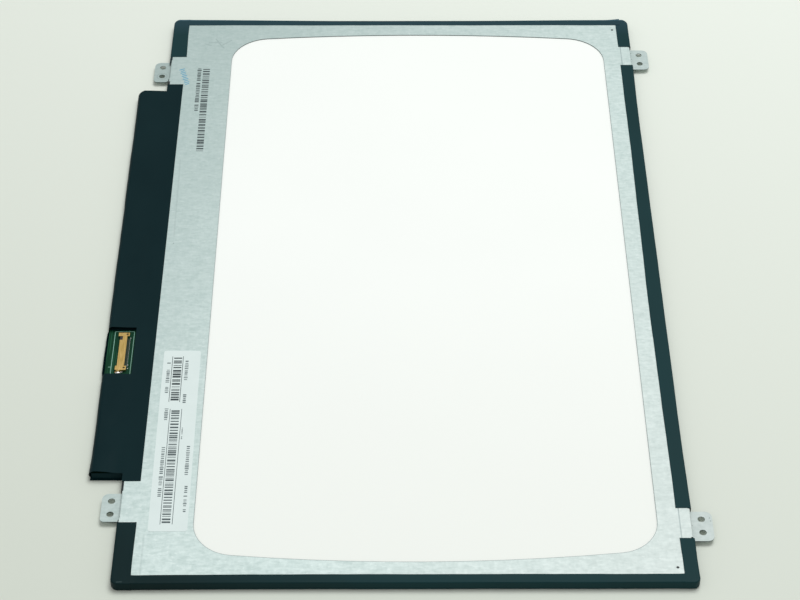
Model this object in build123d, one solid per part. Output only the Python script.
"""Laptop screen panel: a slim edge-lit display module, lying face down with its rear side up.

The origin is the centre of the body's outline on the screen's face. X runs from the control board's edge
(-X) to the opposite long edge, Y runs along the long side, and Z points out of the rear. Millimetres.
"""
from build123d import *
import os

# Outline of the body, without the board flap and the fixing tabs
body_length = 320.4
body_width = 193.6
body_corner_radius = 2.0
edge_bevel = 0.3
tape_thickness = 0.08

# Display cell: two glasses with a polariser on each side
side_border = 5.5
top_border = 6.0
board_border = 13.65
polariser_thickness = 0.2
front_polariser_margin = 1.8
rear_polariser_margin = 1.1
glass_thickness = 0.5
glass_margin = 3.2
glass_clearance = 0.3
driver_ledge = 6.0
rim_tape_thickness = 0.1
rim_tape_width = 1.4

# Backlight: sheets and light guide stacked behind the frame's ledge
ledge_thickness = 0.45
ledge_overlap = 1.1
polariser_gap = 0.4
prism_thickness = 0.16
diffuser_thickness = 0.12
guide_thickness = 0.8
reflector_thickness = 0.2
sheet_clearance = 0.2
lug_inset = 60.2
lug_length = 10.0
lug_reach = 1.2

# Light strip along the board side
lamp_bay_width = 6.5
flex_thickness = 0.15
flex_clearance = 0.3
led_length = 3.8
led_depth = 1.3
led_pitch = 8.1
led_clearance = 0.05
led_gap = 0.15
guide_overhang = 2.7
flex_tail_width = 12.0
flex_tail_inset = 21.2
flex_tail_bond = 2.8
flex_tail_clearance = 0.1

# Moulded frame
rim_thickness = 0.72
rim_step = 0.05
plate_clearance = 0.1

# Rear plate and its window
plate_thickness = 0.3
plate_corner_radius = 1.3
board_band = 25.8
top_band = 11.7
far_band = 10.0
near_band = 9.05
far_bow = 4.0
near_bow_left = 4.5
near_bow_right = 5.5
far_window_radius = 16.0
near_window_radius = 14.5
pin_hole_diameter = 1.0
pin_hole_inset_x = 6.6
pin_hole_inset_y = 6.35

# Fixing tabs folded out of the rear plate
tab_width = 13.1
tab_offset = 0.45
tab_drop = 1.6
tab_root = 3.0
tab_bend_radius = 0.15
tab_corner_radius = 2.5
tab_notch_clearance = 0.35
top_tab_reach = 7.25
top_tab_setback = 0.12
top_tab_inset = 26.1
top_tab_hole_reach = 3.55
board_tab_reach = 6.2
board_tab_setback = 0.5
board_tab_inset = 34.9
board_tab_hole_reach = 2.9
tab_hole_diameter = 2.5
tab_hole_pitch = 6.1
crease_inset = 4.1
crease_width = 0.3
crease_depth = 0.08

# Black tape round the edges: widths of its lips
top_lip = 5.0
board_lip = 6.5
end_lip = 3.1
front_lip_overlap = 1.0
board_front_lip = 3.1
board_tape_length = 26.4

# Control board beside the body, and the film folded round it
board_gap = 0.88
board_width = 10.2
board_inset = 51.0
board_thickness = 0.8
board_rise = 0.3
film_thickness = 0.08
film_board_gap = 0.42
film_overhang = 1.0
film_band_overhang = 5.2
film_band_offset = 0.5
film_rise = 0.4
film_nose_radius = 1.6
film_foot_radius = 0.6
film_crease_radius = 20.0
film_return = 1.6
film_front_gap = 0.4
film_joint = 0.1
flap_chamfer_x = 2.7
flap_chamfer_y = 2.5
film_cutout_length = 25.0
film_cutout_width = 10.5
film_cutout_offset = -0.5

# Driver films from the glass ledge to the board
driver_count = 3
driver_pitch = 73.0
driver_film_width = 32.0
driver_film_thickness = 0.08
driver_bond = 4.0
driver_board_bond = 2.6
driver_flat = 3.0
driver_slot_clearance = 0.4
driver_chip_width = 1.4
driver_chip_length = 18.0
driver_chip_height = 0.35
driver_chip_gap = 1.2

# Data connector
connector_y = -47.4
connector_length = 19.9
connector_height = 1.2
connector_inset = 4.3
connector_depth = 2.6
connector_metal = 0.15
ear_depth = 4.0
ear_front = 0.6
ear_length = 2.0
ear_hole_diameter = 0.8
foot_length = 0.8
foot_width = 1.9
latch_slot_length = 2.0
latch_slot_depth = 1.0
housing_clearance = 0.1
mouth_length = 15.8
mouth_height = 0.45
mouth_depth = 1.9
mouth_floor = 0.35
contact_count = 30
contact_pitch = 0.5
contact_width = 0.2
contact_metal = 0.12
contact_tail = 0.7

# Parts on the control board: package sizes, and places along the board
chip_height = 0.85
chip_bevel = 0.08
timing_chip_side = 7.0
timing_chip_y = 0.0
memory_chip_length = 3.0
memory_chip_width = 4.0
memory_chip_y = 12.0
power_chip_side = 5.0
power_chip_y = -21.0
backlight_chip_side = 4.0
backlight_chip_gap = 15.0
coil_side = 4.6
coil_height = 1.3
coil_corner_radius = 0.7
power_coil_y = -29.0
backlight_coil_gap = 26.0
capacitor_length = 1.6
capacitor_width = 0.8
capacitor_height = 0.8
capacitor_pitch = 2.1
capacitor_row = 7
capacitor_inset = 1.6
resistor_length = 1.0
resistor_width = 0.5
resistor_height = 0.35
resistor_pitch = 1.3
resistor_row = 10
resistor_inset = 1.3

# Label on the rear plate
label_length = 89.4
label_width = 13.35
label_inset = 22.8
label_gap = 2.4
label_thickness = 0.08
label_corner_radius = 0.8

# Levels, from the screen's face to the rear
z_filter = polariser_thickness
z_tft = z_filter + glass_thickness
z_cell_back = z_tft + glass_thickness
z_ledge = z_cell_back + rim_tape_thickness
z_sheets = z_ledge + ledge_thickness
z_lower_prism = z_sheets + prism_thickness
z_diffuser = z_lower_prism + prism_thickness
z_guide = z_diffuser + diffuser_thickness
z_flex = z_guide - flex_thickness
z_reflector = z_guide + guide_thickness
z_plate = z_reflector + reflector_thickness
z_rear = z_plate + plate_thickness
z_tab = z_rear - tab_drop
z_board = z_tft + board_rise
z_board_top = z_board + board_thickness
z_above = z_rear + 5.0
z_below = -5.0

# Places that several pieces share
half_width = body_width / 2
half_length = body_length / 2
frame_x = half_width - tape_thickness
frame_y = half_length - tape_thickness
recess_x = frame_x - rim_thickness
recess_y = frame_y - rim_thickness
plate_x = recess_x - plate_clearance
plate_y = recess_y - plate_clearance
picture_right = half_width - top_border
picture_left = board_border - half_width
picture_y = half_length - side_border
opening_margin = rear_polariser_margin + polariser_gap
sheet_margin = opening_margin + ledge_overlap
glass_left = picture_left - glass_margin
tft_left = glass_left - driver_ledge
glass_right = picture_right + glass_margin
glass_y = picture_y + glass_margin
sheet_left = picture_left - sheet_margin
sheet_right = picture_right + sheet_margin
sheet_y = picture_y + sheet_margin
lug_y = half_length - lug_inset
bay_left = sheet_left - sheet_clearance - lamp_bay_width
guide_left = sheet_left - guide_overhang
window_left = board_band - half_width
window_right = half_width - top_band
lip_left = board_lip - half_width
lip_right = half_width - top_lip
lip_y = half_length - end_lip
board_right = -frame_x - board_gap
board_left = board_right - board_width
board_y = half_length - board_inset
film_left = board_left - film_board_gap - film_thickness
film_y = board_y + film_overhang
film_front_edge = picture_left - front_polariser_margin - film_front_gap
front_lip_left = board_front_lip - half_width
front_lip_right = glass_right - front_lip_overlap
front_lip_y = glass_y - front_lip_overlap
board_tape_start = half_length - board_tape_length
flex_tail_y = board_y - flex_tail_inset
connector_front = board_left + connector_inset
connector_back = connector_front + connector_depth
connector_top = z_board_top + connector_height
tabs = [
    (side, reach, setback, end * (half_length - inset) + tab_offset, hole_reach)
    for side, reach, setback, inset, hole_reach in (
        (1, top_tab_reach, top_tab_setback, top_tab_inset, top_tab_hole_reach),
        (-1, board_tab_reach, board_tab_setback, board_tab_inset, board_tab_hole_reach),
    )
    for end in (1, -1)
]
driver_places = [driver_pitch * (i - (driver_count - 1) / 2) for i in range(driver_count)]


def both(reach):
    """Limits at equal distances on both sides of the centre line."""
    return (-reach, reach)


def about(centre, size):
    """Limits of a length placed about its centre."""
    return (centre - size / 2, centre + size / 2)


def block(x, y, z):
    """Box between its limits along X, Y and Z."""
    limits = (x, y, z)
    centre = [(low + high) / 2 for low, high in limits]
    return Pos(*centre) * Box(*[high - low for low, high in limits])


def rounded_block(x, y, z, radius):
    """Box with its four upright edges rounded."""
    box = block(x, y, z)
    return fillet(box.edges().filter_by(Axis.Z), radius)


def strip_section(points, radii, thickness, length):
    """Thin strip whose centre line runs through (x, z) points with rounded bends, carried along Y."""
    section = trace(FilletPolyline(*points, radius=radii), thickness)
    return extrude(Plane.XZ * section, amount=length / 2, both=True)


def group(solids):
    """Several like solids kept apart in one piece."""
    return Compound(children=list(solids))


def picture_sheet(margin, z, thickness):
    """Flat sheet that covers the picture with the same margin on all four sides."""
    x = (picture_left - margin, picture_right + margin)
    return block(x, both(picture_y + margin), (z, z + thickness))


def backlight_sheet(left, z, thickness):
    """Backlight layer with two lugs on the top side that keep it in place in the frame."""
    sheet = block((left, sheet_right), both(sheet_y), (z, z + thickness))
    for end in (1, -1):
        lug = block(
            (sheet_right - lug_reach, sheet_right + lug_reach),
            about(end * lug_y, lug_length),
            (z, z + thickness),
        )
        sheet += lug
    return sheet


def rim_tape():
    """Narrow frame of tape between the glass and the frame's ledge."""
    inner = picture_sheet(opening_margin, z_cell_back, rim_tape_thickness)
    outer = picture_sheet(opening_margin + rim_tape_width, z_cell_back, rim_tape_thickness)
    return outer - inner


def moulded_frame():
    """Thin moulded surround: glass pocket in front, ledge, sheet pocket, lamp bay and plate recess behind."""
    z = (z_filter, z_rear - rim_step)
    frame = rounded_block(both(frame_x), both(frame_y), z, body_corner_radius)
    caps = frame.faces().sort_by(Axis.Z)
    frame = chamfer(caps[0].edges() + caps[-1].edges(), edge_bevel)
    frame -= block(
        (tft_left - glass_clearance, glass_right + glass_clearance),
        both(glass_y + glass_clearance),
        (z_below, z_ledge),
    )
    frame -= picture_sheet(opening_margin, z_below, z_above - z_below)
    frame -= block(
        (sheet_left - sheet_clearance, sheet_right + sheet_clearance),
        both(sheet_y + sheet_clearance),
        (z_sheets, z_above),
    )
    frame -= block((bay_left, sheet_left), both(sheet_y + sheet_clearance), (z_flex, z_above))
    frame -= rounded_block(both(recess_x), both(recess_y), (z_plate, z_above), plate_corner_radius)
    for end in (1, -1):
        frame -= block(
            (sheet_right, sheet_right + lug_reach + sheet_clearance),
            about(end * lug_y, lug_length + 2 * sheet_clearance),
            (z_sheets, z_above),
        )
    for side, _, setback, centre, _ in tabs:
        face = half_width - setback - plate_thickness - plate_clearance
        outside = half_width + plate_clearance
        foot = z_tab - plate_thickness - plate_clearance
        notch_y = about(centre, tab_width + 2 * tab_notch_clearance)
        frame -= block(sorted((side * face, side * outside)), notch_y, (foot, z_above))
        frame -= block(sorted((side * recess_x, side * outside)), notch_y, (z_plate, z_above))
    for centre in driver_places:
        frame -= block(
            (-half_width, tft_left),
            about(centre, driver_film_width + 2 * driver_slot_clearance),
            (z_below, z_ledge),
        )
    frame -= block(
        (-half_width, bay_left + sheet_clearance),
        about(flex_tail_y, flex_tail_width + 2 * flex_clearance),
        (z_flex, z_flex + flex_thickness + flex_tail_clearance),
    )
    return frame


def led_flex():
    """Light strip's flexible circuit, with a tail that steps down to the control board."""
    strip = block((bay_left + flex_clearance, sheet_left - flex_clearance), both(sheet_y), (z_flex, z_guide))
    middle = z_flex + flex_thickness / 2
    bond = z_board_top + flex_thickness / 2
    points = [
        (bay_left + 2 * flex_clearance, middle),
        (-frame_x - board_gap / 2, middle),
        (board_right - board_gap, bond),
        (board_right - board_gap - flex_tail_bond, bond),
    ]
    bend = 2 * flex_thickness
    tail = strip_section(points, [bend, bend], flex_thickness, flex_tail_width)
    return strip + Pos(0, flex_tail_y, 0) * tail


def leds():
    """Row of side-view lamps facing the light guide's edge."""
    count = int((2 * sheet_y - led_length) // led_pitch) + 1
    lamp_front = guide_left - led_gap
    z = (z_guide, z_reflector - led_clearance)
    places = [led_pitch * (i - (count - 1) / 2) for i in range(count)]
    return group(block((lamp_front - led_depth, lamp_front), about(y, led_length), z) for y in places)


def window_outline():
    """Window in the rear plate: straight long sides, gently bowed ends and large corners."""
    far = half_length - far_band
    near = near_band - half_length
    middle = (window_left + window_right) / 2
    far_left, far_right = (window_left, far - far_bow), (window_right, far - far_bow)
    near_left, near_right = (window_left, near + near_bow_left), (window_right, near + near_bow_right)
    sides = Line(near_left, far_left) + Line(far_right, near_right)
    ends = ThreePointArc(far_left, (middle, far), far_right)
    ends += ThreePointArc(near_right, (middle, near), near_left)
    outline = make_face(sides + ends)
    outline = fillet(outline.vertices().sort_by(Axis.Y)[:2], near_window_radius)
    return fillet(outline.vertices().sort_by(Axis.Y)[-2:], far_window_radius)


def rounded_corner(section, point, radius):
    """Section with the corner nearest to the point rounded."""
    return fillet(section.vertices().sort_by_distance(point)[0], radius)


def fixing_tab(reach, setback, hole_reach):
    """Tab on the top side: out over the rim, down its face and out again, with two screw holes."""
    face = half_width - setback
    back = face - plate_thickness
    root = plate_x - tab_root
    tip = half_width + reach
    foot = z_tab - plate_thickness
    outline = [
        (root, z_rear), (face, z_rear), (face, z_tab), (tip, z_tab),
        (tip, foot), (back, foot), (back, z_plate), (root, z_plate),
    ]
    section = make_face(Polyline(*outline, close=True))
    for point in ((face, z_rear), (back, foot)):
        section = rounded_corner(section, point, tab_bend_radius + plate_thickness)
    for point in ((face, z_tab), (back, z_plate)):
        section = rounded_corner(section, point, tab_bend_radius)
    tab = extrude(Plane.XZ * section, amount=tab_width / 2, both=True)
    tab = fillet(tab.edges().filter_by(Axis.Z).group_by(Axis.X)[-1], tab_corner_radius)
    for y in both(tab_hole_pitch / 2):
        hole = Cylinder(tab_hole_diameter / 2, 4 * plate_thickness)
        tab -= Pos(half_width + hole_reach, y, z_tab - plate_thickness / 2) * hole
    return tab


def rear_plate():
    """Folded steel sheet with the bowed window, four fixing tabs and two jig holes."""
    plate = rounded_block(both(plate_x), both(plate_y), (z_plate, z_rear), plate_corner_radius)
    plate -= Pos(0, 0, z_plate - plate_thickness) * extrude(window_outline(), amount=3 * plate_thickness)
    for side, reach, setback, centre, hole_reach in tabs:
        tab = fixing_tab(reach, setback, hole_reach)
        if side < 0:
            tab = mirror(tab, about=Plane.YZ)
        plate += Pos(0, centre, 0) * tab
        if side > 0:
            plate -= block(
                about(half_width - crease_inset, crease_width),
                about(centre, tab_width + 2 * tab_notch_clearance),
                (z_rear - crease_depth, z_above),
            )
    for end in (1, -1):
        hole = Cylinder(pin_hole_diameter / 2, 4 * plate_thickness)
        plate -= Pos(half_width - pin_hole_inset_x, end * (half_length - pin_hole_inset_y), z_plate) * hole
    return plate


def wrap_envelope(grow):
    """Rounded outer form that the edge tape is wrapped over, grown outwards on all sides."""
    form = rounded_block(
        both(frame_x + grow), both(frame_y + grow), (z_filter - grow, z_rear + grow),
        body_corner_radius - tape_thickness + grow,
    )
    caps = form.faces().sort_by(Axis.Z)
    return chamfer(caps[0].edges() + caps[-1].edges(), edge_bevel)


def edge_tapes():
    """Black tape folded round the edges in five strips, cut away where the tabs come out."""
    wrap = wrap_envelope(tape_thickness) - wrap_envelope(0)
    wrap -= block((lip_left, lip_right), both(lip_y), (z_guide, z_above))
    wrap -= block((front_lip_left, front_lip_right), both(front_lip_y), (z_below, z_guide))
    everywhere = (z_below, z_above)
    outside = half_width + 1
    right = wrap & block((lip_right, outside), both(half_length + 1), everywhere)
    for side, _, _, centre, _ in tabs:
        if side > 0:
            right -= block(
                (lip_right - 1, outside),
                about(centre, tab_width + 2 * tab_notch_clearance),
                (z_tab - plate_thickness - plate_clearance, z_above),
            )
    return {
        "edge_tape_right": right,
        "edge_tape_far": wrap & block((lip_left, lip_right), (0, half_length + 1), everywhere),
        "edge_tape_near": wrap & block((lip_left, lip_right), (-half_length - 1, 0), everywhere),
        "edge_tape_left_far": wrap & block(
            (-outside, lip_left), (board_tape_start, half_length + 1), everywhere),
        "edge_tape_left_near": wrap & block(
            (-outside, lip_left), (-half_length - 1, -board_tape_start), everywhere),
    }


def flap_corner(x, y):
    """Wedge that cuts the far outer corner of the flap off at a slant."""
    points = [
        (x + 2 * flap_chamfer_x, y + flap_chamfer_y),
        (x - flap_chamfer_x, y - 2 * flap_chamfer_y),
        (x - flap_chamfer_x, y + flap_chamfer_y),
    ]
    wedge = make_face(Polyline(*points, close=True))
    return Pos(0, 0, z_below) * extrude(wedge, amount=z_above - z_below)


def board_cover_film():
    """Rear film from the plate out over the board and round its edge, with a cut-out at the connector."""
    top = z_rear + film_thickness / 2
    fold = z_filter + film_thickness / 2
    nose = film_left + film_thickness / 2
    points = [
        (lip_left, top), (-half_width, top), (nose, top + film_rise),
        (nose, fold), (nose + film_return, fold),
    ]
    radii = [film_crease_radius, film_nose_radius, film_foot_radius]
    film = strip_section(points, radii, film_thickness, 2 * film_y)
    band_y = about(film_band_offset, 2 * (board_y + film_band_overhang))
    film += block((-half_width, lip_left), band_y, (z_rear, z_rear + film_thickness))
    film -= flap_corner(film_left, film_y)
    cutout_x = (film_left - 1, film_left + film_cutout_width)
    cutout_y = about(connector_y + film_cutout_offset, film_cutout_length)
    return film - block(cutout_x, cutout_y, (z_below, z_above))


def ledge_film():
    """Front film along the screen's border, over the glass ledge and on under the board to its edge."""
    z = (z_filter - film_thickness, z_filter)
    film = block((front_lip_left + film_joint, film_front_edge), both(front_lip_y - film_joint), z)
    film += block((edge_bevel - frame_x, film_front_edge), both(board_tape_start - film_joint), z)
    film += block((film_left, film_front_edge), both(film_y), z)
    return film - flap_corner(film_left, film_y)


def control_board():
    """Long narrow circuit board beside the body, its far outer corner cut off with the film's."""
    board = block((board_left, board_right), both(board_y), (z_board, z_board_top))
    return board - flap_corner(board_left, board_y)


def driver_film():
    """Flexible film bonded to the front of the glass ledge and to the underside of the board."""
    glass_level = z_tft - driver_film_thickness / 2
    board_level = z_board - driver_film_thickness / 2
    points = [
        (tft_left + driver_bond, glass_level),
        (tft_left - driver_flat, glass_level),
        (board_right + board_gap / 2, board_level),
        (board_right - driver_board_bond, board_level),
    ]
    bend = 4 * driver_film_thickness
    return strip_section(points, [bend, bend], driver_film_thickness, driver_film_width)


def driver_chip():
    """Long thin chip on the back of a driver film, just off the glass."""
    right = tft_left - driver_chip_gap
    x = (right - driver_chip_width, right)
    return block(x, both(driver_chip_length / 2), (z_tft, z_tft + driver_chip_height))


def connector_contact():
    """Contact lying on the mouth's floor, bent down behind the housing to a tail on the board."""
    floor = z_board_top + mouth_floor + contact_metal / 2
    tail = z_board_top + contact_metal / 2
    behind = connector_back + housing_clearance + contact_metal
    path = Polyline(
        (connector_front + mouth_floor, floor), (behind, floor), (behind, tail), (behind + contact_tail, tail)
    )
    return extrude(Plane.XZ * trace(path, contact_metal), amount=contact_width / 2, both=True)


def connector_contacts():
    """Row of like contacts at the connector's pitch."""
    contact = connector_contact()
    places = [contact_pitch * (i - (contact_count - 1) / 2) for i in range(contact_count)]
    return group(Pos(0, connector_y + y, 0) * contact for y in places)


def connector_housing():
    """Insulator with a flat mouth towards the board's edge and a channel for each contact."""
    length = connector_length - 2 * (connector_metal + housing_clearance)
    housing = block(
        (connector_front, connector_back),
        about(connector_y, length),
        (z_board_top, connector_top - connector_metal),
    )
    mouth_z = (z_board_top + mouth_floor, z_board_top + mouth_floor + mouth_height)
    mouth_x = (connector_front - 1, connector_front + mouth_depth)
    housing -= block(mouth_x, about(connector_y, mouth_length), mouth_z)
    channel_x = (connector_front, connector_back + 1)
    channel_z = (mouth_z[0], mouth_z[0] + contact_metal)
    for i in range(contact_count):
        y = connector_y + contact_pitch * (i - (contact_count - 1) / 2)
        housing -= block(channel_x, about(y, contact_width), channel_z)
    return housing


def connector_shell():
    """Folded metal shell: narrow top with a latch slot, wide ears, end walls, and feet on the board."""
    end = connector_length / 2 - connector_metal / 2
    top = connector_top - connector_metal / 2
    foot = z_board_top + connector_metal / 2
    reach = end + foot_length
    points = [(-reach, foot), (-end, foot), (-end, top), (end, top), (end, foot), (reach, foot)]
    section = trace(FilletPolyline(*points, radius=connector_metal), connector_metal)
    front = connector_front - ear_front
    shell = Pos(front, connector_y, 0) * extrude(Plane.YZ * section, amount=ear_depth)
    inner = connector_length - 2 * ear_length
    outer = connector_length + 4 * foot_length
    z = (z_below, z_above)
    shell -= block((front - 1, connector_front), about(connector_y, inner), z)
    shell -= block((connector_back, front + ear_depth + 1), about(connector_y, inner), z)
    slot_far = connector_y + inner / 2
    slot_x = (front - 1, connector_front + latch_slot_depth)
    shell -= block(slot_x, (slot_far - latch_slot_length, slot_far), z)
    shell -= block(
        (front + foot_width, front + ear_depth + 1),
        about(connector_y, outer),
        (z_below, z_board_top + 2 * connector_metal),
    )
    for y in both(connector_length / 2 - ear_length / 2):
        hole = Cylinder(ear_hole_diameter / 2, 4 * connector_metal)
        x = front + ear_depth - ear_hole_diameter
        shell -= Pos(x, connector_y + y, connector_top) * hole
    return shell


def chip(y, length, width):
    """Flat chip package in the middle of the board, with its upper edges bevelled."""
    middle = (board_left + board_right) / 2
    body = block(about(middle, width), about(y, length), (z_board_top, z_board_top + chip_height))
    return chamfer(body.faces().sort_by(Axis.Z)[-1].edges(), chip_bevel)


def power_coil(y):
    """Shielded coil in a square package with rounded corners."""
    middle = (board_left + board_right) / 2
    z = (z_board_top, z_board_top + coil_height)
    return rounded_block(about(middle, coil_side), about(y, coil_side), z, coil_corner_radius)


def part_row(start, count, pitch, x, width, height):
    """Row of small two-ended parts that lie across the board at an even pitch."""
    z = (z_board_top, z_board_top + height)
    return [block(x, about(start + pitch * i, width), z) for i in range(count)]


def capacitors():
    """Rows of ceramic capacitors along the board's outer edge, beside the two supply circuits."""
    x = about(board_left + capacitor_inset, capacitor_length)
    starts = (power_coil_y, flex_tail_y - backlight_coil_gap)
    rows = [part_row(y, capacitor_row, capacitor_pitch, x, capacitor_width, capacitor_height) for y in starts]
    return group(sum(rows, []))


def resistors():
    """Rows of small resistors along the board's inner edge."""
    x = about(board_right - resistor_inset, resistor_length)
    starts = (power_chip_y, memory_chip_y)
    rows = [part_row(y, resistor_row, resistor_pitch, x, resistor_width, resistor_height) for y in starts]
    return group(sum(rows, []))


def label():
    """Sticker on the rear plate beside its window."""
    right = window_left - label_gap
    near = label_inset - half_length
    z = (z_rear, z_rear + label_thickness)
    return rounded_block((right - label_width, right), (near, near + label_length), z, label_corner_radius)


glass_x = (glass_left, glass_right)
pieces = {
    "front_polariser": picture_sheet(front_polariser_margin, 0, polariser_thickness),
    "colour_filter_glass": block(glass_x, both(glass_y), (z_filter, z_tft)),
    "tft_glass": block((tft_left, glass_right), both(glass_y), (z_tft, z_cell_back)),
    "rear_polariser": picture_sheet(rear_polariser_margin, z_cell_back, polariser_thickness),
    "rim_tape": rim_tape(),
    "moulded_frame": moulded_frame(),
    "upper_prism_sheet": backlight_sheet(sheet_left, z_sheets, prism_thickness),
    "lower_prism_sheet": backlight_sheet(sheet_left, z_lower_prism, prism_thickness),
    "diffuser_sheet": backlight_sheet(sheet_left, z_diffuser, diffuser_thickness),
    "light_guide": backlight_sheet(guide_left, z_guide, guide_thickness),
    "reflector_sheet": backlight_sheet(bay_left + sheet_clearance, z_reflector, reflector_thickness),
    "led_flex": led_flex(),
    "leds": leds(),
    "rear_plate": rear_plate(),
    "board_cover_film": board_cover_film(),
    "ledge_film": ledge_film(),
    "control_board": control_board(),
    "driver_films": group(Pos(0, y, 0) * driver_film() for y in driver_places),
    "driver_chips": group(Pos(0, y, 0) * driver_chip() for y in driver_places),
    "connector_housing": connector_housing(),
    "connector_shell": connector_shell(),
    "connector_contacts": connector_contacts(),
    "timing_chip": chip(timing_chip_y, timing_chip_side, timing_chip_side),
    "memory_chip": chip(memory_chip_y, memory_chip_length, memory_chip_width),
    "power_chip": chip(power_chip_y, power_chip_side, power_chip_side),
    "backlight_chip": chip(flex_tail_y - backlight_chip_gap, backlight_chip_side, backlight_chip_side),
    "power_coils": group([power_coil(power_coil_y), power_coil(flex_tail_y - backlight_coil_gap)]),
    "capacitors": capacitors(),
    "resistors": resistors(),
    "label": label(),
    **edge_tapes(),
}

os.makedirs("parts", exist_ok=True)
for name, piece in pieces.items():
    export_step(piece, f"parts/{name}.step")
